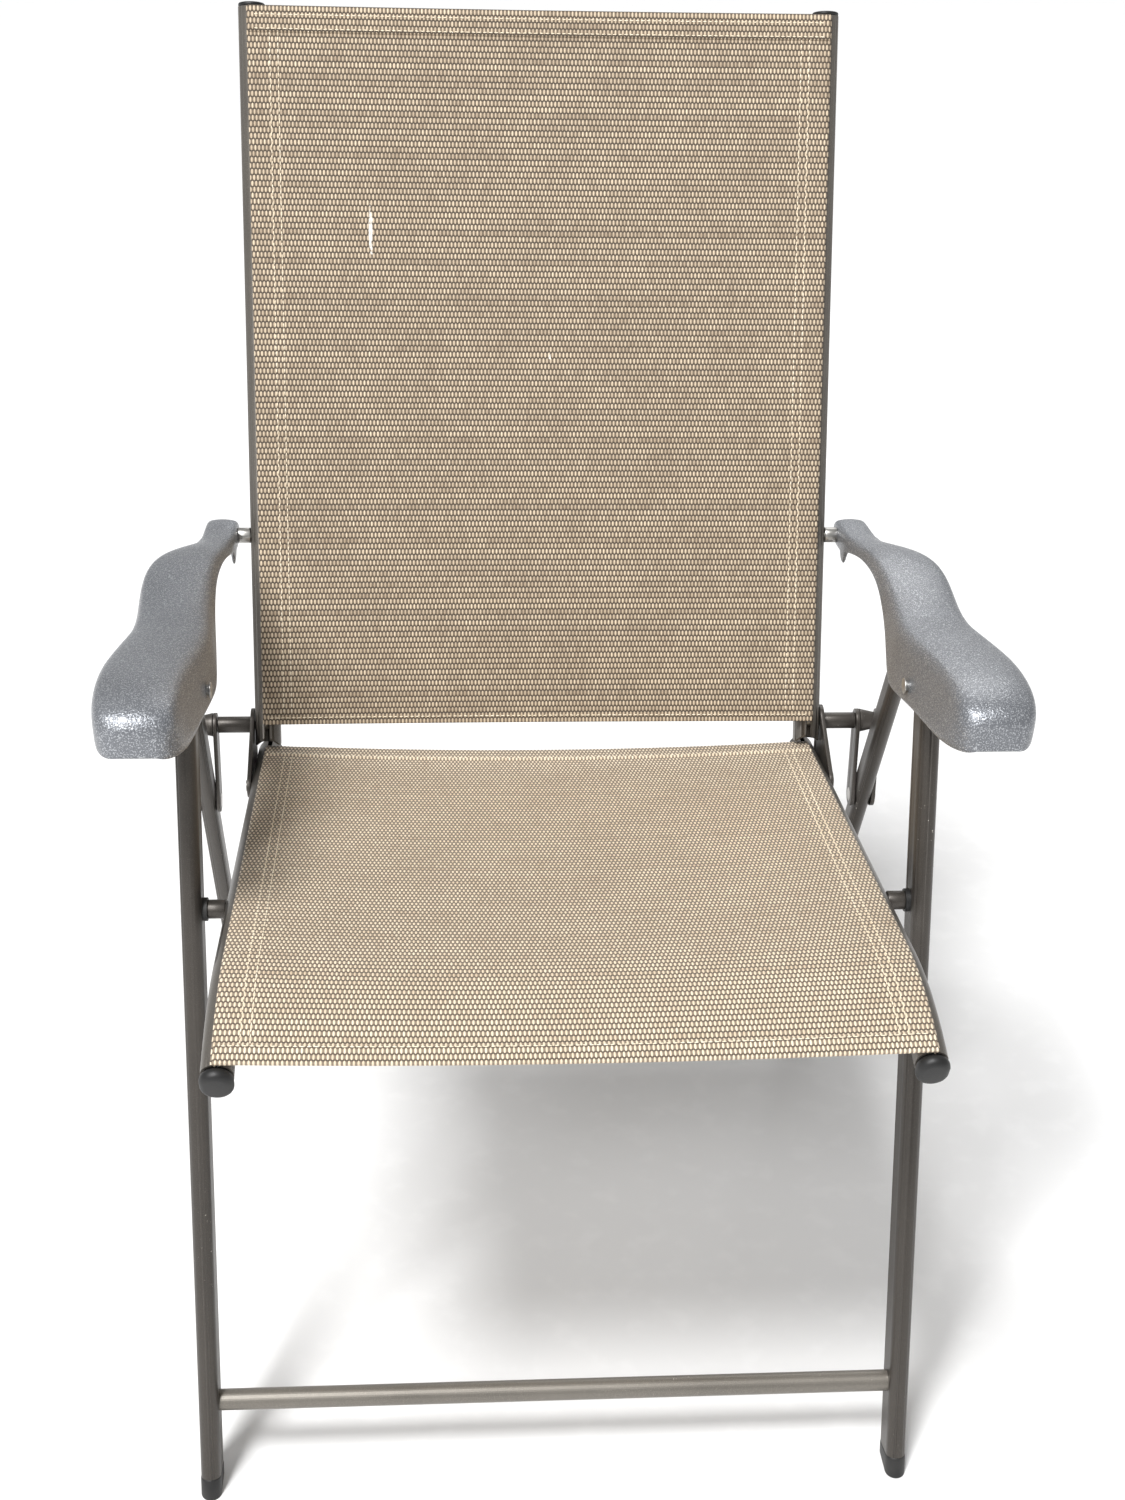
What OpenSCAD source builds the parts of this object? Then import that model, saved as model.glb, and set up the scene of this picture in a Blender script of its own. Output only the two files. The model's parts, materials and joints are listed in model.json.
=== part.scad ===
// Folding sling armchair for the patio: a tubular steel frame that folds flat,
// with a woven seat and back stretched between slotted rails.
// Millimetres, +Z up, the front faces -Y. The origin is on the floor, in the middle of the
// chair's outline.

/* [Widths] */
// Overall width across the outer faces of the seat and back rails
rail_span = 450; // [380:1:540]
// Clear gap between a seat rail and the front leg beside it
leg_gap = 15.5; // [12:0.5:26]

/* [Front legs] */
// Distance up the front leg from its foot to the seat pivot
front_leg_to_seat = 431; // [380:1:520]
// Distance between the seat pivot and the arm pivot on the front leg
side_link = 150; // [130:1:190]
// Lean of the front legs from the vertical, tops to the rear
front_lean = 16; // [10:0.5:20]
// Thickness of a front leg across the chair
front_leg_t = 14; // [12:0.5:18]
// Depth of a front leg along its wider side
front_leg_d = 30; // [24:0.5:34]

/* [Rear legs] */
// Lean of the rear legs from the vertical, feet to the rear
rear_lean = 26.2; // [22:0.2:30]
// Thickness of a rear leg across the chair
rear_leg_t = 13; // [10:0.5:15]
// Depth of a rear leg along its wider side
rear_leg_d = 22; // [18:0.5:24]
// Distance along the rear leg from the arm pivot to the link
rear_leg_to_link = 238; // [225:1:250]
// Distance from the arm's front pivot to its rear-leg pivot
arm_pivot_gap = 116; // [100:1:130]

/* [Seat] */
// Slope of the seat down to the rear
seat_slope = 7; // [3:0.5:10]
// Distance from the seat pivot back to the rear end of the seat rails
seat_behind = 282; // [260:1:320]
// Distance from the seat pivot forward to the start of the front curve
seat_ahead = 90; // [60:1:120]
// Radius of the front curve of the seat rails
seat_curve_r = 200; // [140:5:260]
// Angle of the front curve of the seat rails
seat_curve_angle = 27; // [15:1:45]
// Distance from the seat pivot back to the hinge between seat and back
seat_link = 270; // [250:1:300]

/* [Back] */
// Length of the back rails
back_length = 555; // [440:1:680]
// Distance from the lower end of a back rail up to the hinge
hinge_up = 15; // [12:1:30]

/* [Tubes and cloth] */
// Width of a slotted rail
rail_w = 20; // [16:0.5:24]
// Depth of a slotted rail
rail_d = 24; // [22:0.5:30]
// Wall of every tube
tube_wall = 1.5; // [1:0.1:2]
// Width of the slot that holds the cloth
slot_w = 3.6; // [3:0.1:5]
// Width of the flat cords in the hems of the cloth
hem_rod_w = 4.4; // [4:0.1:5]
// Thickness of the flat cords in the hems of the cloth
hem_rod_t = 3; // [2:0.1:4]
// Thickness of the woven cloth
cloth_t = 1.2; // [0.8:0.1:1.6]
// Diameter of the crossbars
crossbar_d = 15; // [12:0.5:20]
// How far the crossbars behind the cloth bow away from the sitter
bow = 35; // [20:1:60]

/* [Pivots] */
// Diameter of the seat, arm and leg pivot pins
pin_d = 8; // [6:0.5:10]
// Diameter of the pin at the rear end of an arm
arm_bolt_d = 5.6; // [5:0.2:6]
// Outer diameter of the spacers on the pivots
spacer_d = 13; // [11:0.5:16]
// Thickness of the straps and hinge plates
strap_t = 3; // [2:0.5:4]
// Width of the link straps
strap_w = 19; // [16:1:22]
// Wide diameter of the cone between the link straps
cone_d = 19; // [16:0.5:19]

/* [Arms] */
// Wall of the moulded arms
arm_wall = 3; // [2:0.25:4]
// Gap between a back rail and the arm beside it
arm_gap = 10; // [7:0.5:14]
// Width of the rear neck of an arm
arm_neck_w = 22.5; // [20:0.5:23]

/* [Clearances] */
// Radial running clearance of every pivot
pivot_clear = 0.05; // [0.02:0.01:0.1]
// Side clearance between pieces that swing past each other
side_clear = 0.4; // [0.3:0.1:1]
// Clearance between pieces that are slid into each other
fit_clear = 0.1; // [0.05:0.05:0.3]

/* [Hidden] */
$fn = 64;

bronze = "#5d5049";
pewter = "#8d9096";
black = "#17181a";
cloth = "#b39a7c";
zinc = "#b9b9b4";

// Places across the chair, as distances from its middle plane
rail_out = rail_span / 2;
rail_mid = rail_out - rail_w / 2;
rail_in = rail_out - rail_w;
plate_in = rail_out + side_clear;
plate_out = plate_in + strap_t;
front_in = rail_out + leg_gap;
front_out = front_in + front_leg_t;
link_in = front_out + 0.6;
link_face = link_in + strap_t;
rear_in = link_face + side_clear;
rear_out = rear_in + rear_leg_t;
outer_in = rear_out + side_clear;
outer_out = outer_in + strap_t;
arm_in_rear = rail_out + arm_gap;
arm_skirt_in = rail_out + 6.5;
arm_rib_in = rear_out + 1.4;

// Pivots in the side view, as [y, z]
function up_front(d) = d * [sin(front_lean), cos(front_lean)];
seat_drop = 2;
cap_lip = 0.3;
bowed_bar_d = crossbar_d - 3;
upper_bar_down = 40;
arm_rise = 3;

// The seat line runs through the seat pivot; its front end follows an arc
seat_back_way = [cos(seat_slope), -sin(seat_slope)];
seat_up = [sin(seat_slope), cos(seat_slope)];
front_tip_angle = 90 - seat_slope + seat_curve_angle;
front_tip_way = [-sin(front_tip_angle), cos(front_tip_angle)];
front_cap_len = 9;
front_cap_d = rail_d + 0.8;

// The back rails lean a little more than the line through their two pivots
hinge_offset = -3;
arm_offset = 2.5;
recline = front_lean + asin((arm_offset - hinge_offset) / side_link);
back_way = [sin(recline), cos(recline)];
back_front = [-cos(recline), sin(recline)];
top_cap_t = 3;

// Front and rear ends of the outline, counted back from the front feet
seat_from_feet = up_front(front_leg_to_seat);
tip_from_feet = seat_from_feet - seat_ahead * seat_back_way
    + seat_curve_r * ([cos(front_tip_angle), sin(front_tip_angle)] - seat_up);
cap_end = tip_from_feet + front_cap_len * front_tip_way;
front_end = cap_end[0] - front_cap_d / 2 * sin(seat_curve_angle - seat_slope);
top_from_feet = seat_from_feet + [seat_link, -seat_drop] - hinge_offset * back_front
    + (back_length + top_cap_t - hinge_up) * back_way;
leg_from_feet = seat_from_feet + up_front(side_link) + [arm_pivot_gap, arm_rise];
bar_from_feet = top_from_feet - (top_cap_t + upper_bar_down) * back_way;
rear_end = max(top_from_feet[0] + rail_d / 2 * cos(recline),
    bar_from_feet[0] + bow * cos(recline) + bowed_bar_d / 2,
    leg_from_feet[0] + leg_from_feet[1] * tan(rear_lean) + (rear_leg_d / 2 + cap_lip) / cos(rear_lean));

front_foot = [-(front_end + rear_end) / 2, 0];
seat_pivot = front_foot + seat_from_feet;
arm_pivot = seat_pivot + up_front(side_link);
hinge_point = seat_pivot + [seat_link, -seat_drop];
arm_rear = hinge_point + up_front(side_link);
rear_pivot = arm_pivot + [arm_pivot_gap, arm_rise];
rear_down = [sin(rear_lean), -cos(rear_lean)];
link_point = rear_pivot + rear_leg_to_link * rear_down;
rear_foot = rear_pivot + rear_pivot[1] / cos(rear_lean) * rear_down;
link_vector = link_point - hinge_point;
link_length = norm(link_vector);
link_turn = atan2(link_vector[1], link_vector[0]);

// Along the seat and the back, distances are counted from their lower ends
seat_rear = seat_pivot + seat_behind * seat_back_way;
seat_straight = seat_behind + seat_ahead;
knee = seat_pivot - seat_ahead * seat_back_way;
curve_centre = knee - seat_curve_r * seat_up;

back_foot = hinge_point - hinge_offset * back_front - hinge_up * back_way;

// Cloth and hem rods inside the rails
cloth_gap = 0.25;
rail_hollow_r = rail_w / 2 - tube_wall;
rail_hollow_top = rail_d / 2 - rail_w / 2 + sqrt(pow(rail_hollow_r, 2) - pow(hem_rod_w / 2, 2));
cloth_n = rail_d / 2 + cloth_gap;
cloth_in_slot = rail_hollow_top - fit_clear;

// The lower ends of the back rails are rounded about the hinge to swing past the seat cloth
swing_r = (hinge_point - seat_rear) * seat_up - cloth_n - cloth_t - side_clear;
back_cloth_start = 18;
back_cloth_end = back_length - 3;
seat_cloth_start = 18;

// Feet, caps, bars and fasteners
foot_cap_len = 36;
foot_wall = 12;
end_cap_inset = 0.4;
front_bar_z = 64;
rear_bar_up = 92;
lower_bar_up = 34;
seat_bar_rear = 70;
seat_bar_front = 330;
head_d = 14;
small_head_d = 11;
head_t = 2.4;
rivet_head_t = 1.2;
rivet_d = 6;
plate_rivet_d = 5;
washer_t = 3.2;
small_gap = 0.3;
bore_d = pin_d + 2 * pivot_clear;
loose_d = pin_d + 2 * fit_clear;

// ---------- helpers ----------

// Places children at a side-view point, out at x
module at(p, x = 0) { translate([x, p[0], p[1]]) children(); }

// A bar along X from one distance to another, on a side-view point
module pin_x(p, x0, x1, d) {
    at(p, x0) rotate([0, 90, 0]) cylinder(d = d, h = x1 - x0);
}

// A tube or spacer along X, on a side-view point
module sleeve(p, x0, x1, d, bore) {
    difference() {
        pin_x(p, x0, x1, d);
        pin_x(p, x0 - 1, x1 + 1, bore);
    }
}

// Makes a right-hand piece and its left-hand mirror image
module both_sides() {
    children();
    mirror([1, 0, 0]) children();
}

module oval(w, d) {
    union() {
        square([w, d - w], center = true);
        translate([0, (d - w) / 2]) circle(d = w);
        translate([0, -(d - w) / 2]) circle(d = w);
    }
}

module oval_ring(w, d, t) {
    difference() {
        oval(w, d);
        oval(w - 2 * t, d - 2 * t);
    }
}

// Section of a slotted rail; the slot is on its +Y side
module rail_section() {
    difference() {
        oval_ring(rail_w, rail_d, tube_wall);
        translate([-slot_w / 2, 0]) square([slot_w, rail_d]);
    }
}

// Section of the cloth between two rails, with its hems turned down into the slots
module cloth_section() {
    turn = cloth_t / 2;
    union() {
        translate([-rail_mid - turn, cloth_n]) square([2 * rail_mid + cloth_t, cloth_t]);
        for (s = [-1, 1])
            translate([s * rail_mid - turn, cloth_in_slot])
                square([cloth_t, cloth_n + cloth_t - cloth_in_slot]);
    }
}

module hem_rod_section() {
    translate([-hem_rod_w / 2, cloth_in_slot - hem_rod_t]) square([hem_rod_w, hem_rod_t]);
}

// Sweeps a section along the straight part and the front curve of the seat line
module along_seat(start, curved = true) {
    at(seat_rear - start * seat_back_way)
        rotate([90 - seat_slope, 0, 0])
            linear_extrude(seat_straight - start) children();
    if (curved)
        at(curve_centre) rotate([90, 0, 90]) rotate([0, 0, 90 - seat_slope])
            rotate_extrude(angle = seat_curve_angle, $fn = 180)
                translate([seat_curve_r, 0]) rotate(-90) children();
}

// Sweeps a section up the back; the section's +Y side faces forward
module along_back(start, end) {
    at(back_foot + start * back_way)
        rotate([-recline, 0, 0])
            linear_extrude(end - start) mirror([0, 1]) children();
}

// A tube between two legs, reaching the same distance each side of the middle
module straight_bar(p, reach) { sleeve(p, -reach, reach, crossbar_d, crossbar_d - 2 * tube_wall); }

// A crossbar whose middle bows away along the section's -Y side
module bowed_bar(half) {
    d = bowed_bar_d;
    radius = (half * half + bow * bow) / (2 * bow);
    sweep = 2 * asin(half / radius) + 4;
    intersection() {
        translate([0, radius - bow, 0]) rotate([0, 0, -90 - sweep / 2])
            rotate_extrude(angle = sweep, $fn = 180) translate([radius, 0])
                difference() {
                    circle(d = d);
                    circle(d = d - 2 * tube_wall);
                }
        translate([-half, -radius, -d]) cube([2 * half, 2 * radius, 2 * d]);
    }
}

module on_seat(s) {
    at(seat_rear - s * seat_back_way) rotate([90 - seat_slope, 0, 0]) children();
}

module on_back(s) {
    at(back_foot + s * back_way) rotate([-recline, 0, 0]) mirror([0, 1, 0]) children();
}

// ---------- front frame ----------

front_leg_len = front_leg_to_seat + side_link + front_leg_d / 2 + 1;

module front_leg() {
    color(bronze) difference() {
        at(front_foot, front_in + front_leg_t / 2) rotate([-front_lean, 0, 0])
            translate([0, 0, foot_wall]) linear_extrude(front_leg_len - foot_wall)
                oval_ring(front_leg_t, front_leg_d, tube_wall);
        pin_x(seat_pivot, front_in - 1, front_out + 1, loose_d);
        pin_x(arm_pivot, front_in - 1, front_out + 1, bore_d);
    }
}
module front_leg_right() { front_leg(); }
module front_leg_left() { mirror([1, 0, 0]) front_leg(); }

module front_crossbar() {
    color(bronze) straight_bar(front_foot + up_front(front_bar_z / cos(front_lean)), front_in);
}

// A cap pushed into the end of a leg and ground flat where it stands on the floor
module foot_cap(t, d, lean) {
    reach = d * tan(abs(lean)) / 2 + 4;
    narrower = 2 * (tube_wall + fit_clear);
    difference() {
        rotate([-lean, 0, 0]) union() {
            translate([0, 0, -reach]) linear_extrude(foot_wall + reach)
                oval(t + 2 * cap_lip, d + 2 * cap_lip);
            linear_extrude(foot_cap_len) oval(t - narrower, d - narrower);
        }
        translate([-t, -3 * d, -3 * d]) cube([2 * t, 6 * d, 3 * d]);
    }
}
module front_foot_caps() {
    color(black) both_sides() at(front_foot, front_in + front_leg_t / 2)
        foot_cap(front_leg_t, front_leg_d, front_lean);
}

module seat_pivot_bolts() {
    color(zinc) both_sides() {
        pin_x(seat_pivot, rail_in - small_gap, front_out, pin_d);
        pin_x(seat_pivot, rail_in - small_gap - head_t, rail_in - small_gap, head_d);
        pin_x(seat_pivot, front_out, front_out + small_gap, head_d);
    }
}

module seat_pivot_spacers() {
    color(zinc) both_sides()
        sleeve(seat_pivot, rail_out + side_clear, front_in - washer_t, spacer_d, loose_d);
}

module seat_pivot_washers() {
    color(black) both_sides()
        sleeve(seat_pivot, front_in - washer_t, front_in, spacer_d + 3, loose_d);
}

// ---------- rear frame ----------

module rear_leg() {
    length = norm(rear_foot - rear_pivot) + rear_leg_d / 2 - 1;
    color(bronze) difference() {
        at(rear_foot, rear_in + rear_leg_t / 2) rotate([rear_lean, 0, 0])
            translate([0, 0, foot_wall]) linear_extrude(length - foot_wall)
                oval_ring(rear_leg_t, rear_leg_d, tube_wall);
        pin_x(rear_pivot, rear_in - 1, rear_out + 1, bore_d);
    }
}
module rear_leg_right() { rear_leg(); }
module rear_leg_left() { mirror([1, 0, 0]) rear_leg(); }

module rear_crossbar() {
    color(bronze) straight_bar(rear_foot - rear_bar_up * rear_down, rear_in);
}

module rear_foot_caps() {
    color(black) both_sides() at(rear_foot, rear_in + rear_leg_t / 2)
        foot_cap(rear_leg_t, rear_leg_d, -rear_lean);
}

// ---------- arms ----------

// A smooth curve through points: n steps between each pair, with level ends
function bend(p, i) = (i == 0 || i == len(p) - 1) ? p[i] * 0 :
    (p[i + 1] - p[i - 1]) / 2;
function smooth(p, n) = [
    for (i = [0:len(p) - 2], j = [0:n - 1])
        let (t = j / n, a = p[i], b = p[i + 1], u = bend(p, i), v = bend(p, i + 1))
            a * (2 * t * t * t - 3 * t * t + 1) + u * (t * t * t - 2 * t * t + t)
                + b * (3 * t * t - 2 * t * t * t) + v * (t * t * t - t * t),
    p[len(p) - 1]
];
function backwards(p) = [for (i = [len(p) - 1:-1:0]) p[i]];

// Top and lower edge of the arm in the side view, as [y, z] from the arm's front pivot
arm_back = arm_rear[0] - arm_pivot[0];
arm_top = smooth([[-106, 14], [-103, 26], [-92, 35], [-70, 37.5], [-47, 35.5], [-2, 31], [38, 25.5],
    [88, 22.5], [138, 24], [178, 22], [215, 15], [240, 10], [arm_back + 4, 8], [arm_back + 14, 2]], 4);
arm_bottom = smooth([[-106, 14], [-98, 9], [-75, 0], [-37, -6], [0, -13], [48, -23], [66, -15],
    [78, -2], [100, 6], [123, 14], [147, 17], [182, 14], [225, 3]], 4);
arm_prong = [[236, -6], [241, -14], [246, -13], [254, -8], [arm_back + 4, -12], [arm_back + 14, -6]];

// Inner and outer edge in the plan view, as [y, x]; x is counted from the chair's middle plane
function arm_inner(extra) = [for (q = smooth([[-106, 14], [-98, 7], [-60, 4], [-18, 0], [20, 0],
    [50, 0], [80, 2], [110, 5], [150, 6.5], [185, 5], [215, arm_in_rear - arm_skirt_in],
    [290, arm_in_rear - arm_skirt_in]], 4)) q + [0, arm_skirt_in + extra]];
function arm_outer(extra) = [for (q = smooth([[-106, 42], [-98, 56], [-85, 62], [-60, 66], [-22, 67.5],
    [3, 64.5], [28, 60.5], [68, 56.5], [93, 57.5], [128, 59.5], [158, 58.5], [188, 51.5], [208, 40.5],
    [224, arm_in_rear + arm_neck_w - arm_skirt_in + 2], [240, arm_in_rear + arm_neck_w - arm_skirt_in],
    [290, arm_in_rear + arm_neck_w - arm_skirt_in]], 4)) q + [0, arm_skirt_in - extra]];

module arm_side(top, bottom, x0, x1) {
    at(arm_pivot, x0) rotate([90, 0, 90]) linear_extrude(x1 - x0)
        polygon(concat(top, backwards(bottom)));
}

module arm_plan(extra) {
    translate([0, arm_pivot[0], arm_pivot[1] - 60]) linear_extrude(120)
        polygon([for (q = concat(arm_inner(extra), backwards(arm_outer(extra)))) [q[1], q[0]]]);
}

arm_span = [arm_skirt_in - 5, arm_skirt_in + 75];
outer_low = 8;
hollow_front = -101;
hollow_rear = 175;
pin_wall = arm_skirt_in + arm_wall + 1;
rear_pin_in = arm_in_rear + arm_wall + 3.5;
rib_out = arm_rib_in + arm_wall;

module arm_shell() {
    difference() {
        intersection() {
            arm_side(arm_top, concat(arm_bottom, arm_prong), arm_span[0], arm_span[1]);
            arm_plan(0);
        }
        intersection() {
            arm_side([for (q = arm_top) if (q[0] > hollow_front && q[0] < hollow_rear) q - [0, arm_wall]],
                [[hollow_front, -60], [hollow_rear, -60]], arm_span[0], arm_span[1]);
            arm_plan(arm_wall);
        }
        arm_side([[hollow_front - 9, outer_low], [hollow_rear, outer_low]],
            [[hollow_front - 9, -60], [hollow_rear, -60]], rib_out + 1, arm_span[1]);
    }
}

module arm_rib() {
    rib_top = [for (q = arm_top) if (q[0] > -30 && q[0] < 150) q - [0, arm_wall / 2]];
    rib_low = [for (q = arm_bottom) if (q[0] > -30 && q[0] < 88) q + [0, 2]];
    intersection() {
        arm_side(rib_top, concat(rib_low, [[146, -9]]), arm_rib_in, rib_out);
        arm_plan(arm_wall);
    }
}

module armrest() {
    color(pewter) difference() {
        union() {
            arm_shell();
            arm_rib();
            pin_x(arm_pivot, arm_skirt_in + arm_wall / 2, pin_wall, head_d + 4);
        }
        pin_x(arm_pivot, arm_span[0], rib_out + 1, loose_d);
        pin_x(arm_pivot, arm_span[0], arm_skirt_in, small_head_d + 1);
        pin_x(rear_pivot, rear_pin_in, rib_out + 1, loose_d);
        pin_x(arm_rear, arm_span[0], arm_span[1], arm_bolt_d + 2 * pivot_clear);
    }
}
module armrest_right() { armrest(); }
module armrest_left() { mirror([1, 0, 0]) armrest(); }

module arm_rivets() {
    color(zinc) {
        pin_x(arm_pivot, arm_skirt_in, rib_out, pin_d);
        pin_x(arm_pivot, arm_skirt_in - rivet_head_t, arm_skirt_in, small_head_d);
        pin_x(arm_pivot, rib_out, rib_out + rivet_head_t, small_head_d);
        pin_x(rear_pivot, rear_pin_in, rib_out, pin_d);
        pin_x(rear_pivot, rib_out, rib_out + rivet_head_t, small_head_d);
    }
}
module arm_rivets_right() { arm_rivets(); }
module arm_rivets_left() { mirror([1, 0, 0]) arm_rivets(); }

module arm_bushes() {
    color(black) {
        sleeve(arm_pivot, pin_wall, front_in - side_clear, spacer_d, loose_d);
        sleeve(arm_pivot, front_out + side_clear, arm_rib_in, spacer_d, loose_d);
        sleeve(rear_pivot, rear_pin_in, rear_in - side_clear, spacer_d, loose_d);
        sleeve(rear_pivot, rear_out + side_clear, arm_rib_in, spacer_d, loose_d);
    }
}
module arm_bushes_right() { arm_bushes(); }
module arm_bushes_left() { mirror([1, 0, 0]) arm_bushes(); }

// ---------- back frame ----------

module back_rail() {
    color(bronze) difference() {
        translate([rail_mid, 0, 0]) along_back(0, back_length) rail_section();
        difference() {
            translate([rail_mid, 0, 0]) along_back(-1, hinge_up) square(2 * rail_d, center = true);
            pin_x(hinge_point, rail_in - rail_d, rail_out + rail_d, 2 * swing_r);
        }
        pin_x(hinge_point, rail_mid, rail_out + 1, loose_d);
        pin_x(arm_rear, rail_in - 1, rail_out + 1, arm_bolt_d + 2 * fit_clear);
    }
}
module back_rail_right() { back_rail(); }
module back_rail_left() { mirror([1, 0, 0]) back_rail(); }

module back_lower_crossbar() {
    color(bronze) on_back(lower_bar_up) bowed_bar(rail_in);
}
module back_upper_crossbar() {
    color(bronze) on_back(back_length - upper_bar_down) bowed_bar(rail_in);
}

module back_top_caps() {
    color(black) both_sides() translate([rail_mid, 0, 0])
        along_back(back_length, back_length + top_cap_t)
            oval(rail_w - end_cap_inset, rail_d - end_cap_inset);
}

module back_hem_rods() {
    color(black) both_sides() translate([rail_mid, 0, 0])
        along_back(back_cloth_start, back_cloth_end) hem_rod_section();
}

module back_sling() {
    color(cloth) along_back(back_cloth_start, back_cloth_end) cloth_section();
}

module arm_bolts() {
    neck_out = arm_in_rear + arm_neck_w + small_gap;
    color(zinc) both_sides() {
        pin_x(arm_rear, rail_in - small_gap, neck_out, arm_bolt_d);
        pin_x(arm_rear, rail_in - small_gap - rivet_head_t, rail_in - small_gap, small_head_d);
        pin_x(arm_rear, neck_out, neck_out + rivet_head_t, small_head_d);
    }
}

module arm_spacers() {
    color(zinc) both_sides()
        sleeve(arm_rear, rail_out, arm_in_rear - side_clear, spacer_d - 1, arm_bolt_d + 2 * fit_clear);
}

module link_studs() {
    color(zinc) both_sides() {
        pin_x(hinge_point, rail_mid, outer_out + side_clear, pin_d);
        pin_x(hinge_point, outer_out + side_clear, outer_out + head_t, head_d);
    }
}

module link_spacers() {
    color(bronze) both_sides()
        sleeve(hinge_point, plate_out + side_clear, link_in - side_clear, spacer_d, loose_d);
}

module link_cones() {
    x0 = link_face + side_clear;
    x1 = outer_in - side_clear;
    color(bronze) both_sides() difference() {
        at(hinge_point, x0) rotate([0, 90, 0]) cylinder(d1 = cone_d, d2 = spacer_d, h = x1 - x0);
        pin_x(hinge_point, x0 - 1, x1 + 1, loose_d);
    }
}

// ---------- seat frame ----------

plate_front = 66;
plate_rear = 12;

module seat_rail() {
    color(bronze) difference() {
        translate([rail_mid, 0, 0]) along_seat(0) rail_section();
        pin_x(seat_pivot, rail_in - 1, rail_out + 1, bore_d);
        for (s = [plate_rear, plate_front])
            pin_x(seat_rear - s * seat_back_way, rail_mid, rail_out + 1, plate_rivet_d + 2 * fit_clear);
    }
}
module seat_rail_right() { seat_rail(); }
module seat_rail_left() { mirror([1, 0, 0]) seat_rail(); }

module seat_rear_crossbar() {
    color(bronze) on_seat(seat_bar_rear) bowed_bar(rail_in);
}
module seat_front_crossbar() {
    color(bronze) on_seat(seat_bar_front) bowed_bar(rail_in);
}

// A rounded plug on the front end of a seat rail
module seat_front_caps() {
    color(black) both_sides()
        at(curve_centre, rail_mid) rotate([90, 0, 90]) rotate([0, 0, front_tip_angle])
            translate([seat_curve_r, 0, 0]) rotate([-90, 0, 0]) rotate([0, 0, 90])
                linear_extrude(front_cap_len) oval(front_cap_d - rail_d + rail_w, front_cap_d);
}

module seat_rear_caps() {
    color(black) both_sides() translate([rail_mid, 0, 0])
        on_seat(-top_cap_t) linear_extrude(top_cap_t)
            oval(rail_w - end_cap_inset, rail_d - end_cap_inset);
}

module seat_hem_rods() {
    color(black) both_sides() translate([rail_mid, 0, 0])
        along_seat(seat_cloth_start) hem_rod_section();
}

module seat_sling() {
    color(cloth) along_seat(seat_cloth_start) cloth_section();
}

module hinge_plate() {
    rear = seat_rear - plate_rear * seat_back_way;
    front = seat_rear - plate_front * seat_back_way;
    r_top = 13;
    r_low = 9;
    edge_rear = [cos(20), sin(20)];
    edge_front = [-cos(42), sin(42)];
    color(bronze) difference() {
        union() {
            pin_x(hinge_point, plate_in, plate_out, 2 * r_top);
            pin_x(rear, plate_in, plate_out, 2 * r_low);
            pin_x(front, plate_in, plate_out, 2 * r_low);
            translate([plate_in, 0, 0]) rotate([90, 0, 90]) linear_extrude(strap_t)
                polygon([hinge_point + r_top * edge_rear, hinge_point + r_top * edge_front,
                    front + r_low * edge_front, front - r_low * seat_up,
                    rear - r_low * seat_up, rear + r_low * seat_back_way]);
        }
        pin_x(hinge_point, plate_in - 1, plate_out + 1, bore_d);
        for (p = [rear, front])
            pin_x(p, plate_in - 1, plate_out + 1, plate_rivet_d + 2 * fit_clear);
    }
}
module hinge_plate_right() { hinge_plate(); }
module hinge_plate_left() { mirror([1, 0, 0]) hinge_plate(); }

module hinge_rivets() {
    color(zinc) both_sides() for (s = [plate_rear, plate_front]) {
        p = seat_rear - s * seat_back_way;
        pin_x(p, rail_mid, plate_out, plate_rivet_d);
        pin_x(p, plate_out, plate_out + rivet_head_t, plate_rivet_d + 4);
    }
}

// ---------- links ----------

module strap(x0) {
    color(bronze) difference() {
        at((hinge_point + link_point) / 2, x0) rotate([90, 0, 90]) rotate([0, 0, link_turn - 90])
            linear_extrude(strap_t) oval(strap_w, link_length + strap_w);
        pin_x(hinge_point, x0 - 1, x0 + strap_t + 1, bore_d);
        pin_x(link_point, x0 - 1, x0 + strap_t + 1, rivet_d + 2 * fit_clear);
    }
}
module link_inner_right() { strap(link_in); }
module link_inner_left() { mirror([1, 0, 0]) strap(link_in); }
module link_outer_right() { strap(outer_in); }
module link_outer_left() { mirror([1, 0, 0]) strap(outer_in); }

module link_rivets() {
    color(zinc) {
        pin_x(link_point, link_in - small_gap, link_in, small_head_d);
        pin_x(link_point, link_in, link_face, rivet_d);
        pin_x(link_point, outer_in, outer_out, rivet_d);
        pin_x(link_point, outer_out, outer_out + rivet_head_t, small_head_d);
    }
}
module link_rivets_right() { link_rivets(); }
module link_rivets_left() { mirror([1, 0, 0]) link_rivets(); }

front_leg_left();
front_leg_right();
front_crossbar();
front_foot_caps();
seat_pivot_bolts();
seat_pivot_spacers();
seat_pivot_washers();
rear_leg_left();
rear_leg_right();
rear_crossbar();
rear_foot_caps();
armrest_left();
armrest_right();
arm_rivets_left();
arm_rivets_right();
arm_bushes_left();
arm_bushes_right();
back_rail_left();
back_rail_right();
back_upper_crossbar();
back_lower_crossbar();
back_top_caps();
back_hem_rods();
back_sling();
arm_bolts();
arm_spacers();
link_studs();
link_spacers();
link_cones();
seat_rail_left();
seat_rail_right();
seat_front_crossbar();
seat_rear_crossbar();
seat_front_caps();
seat_rear_caps();
seat_hem_rods();
seat_sling();
hinge_plate_left();
hinge_plate_right();
hinge_rivets();
link_inner_left();
link_inner_right();
link_outer_left();
link_outer_right();
link_rivets_left();
link_rivets_right();
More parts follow.
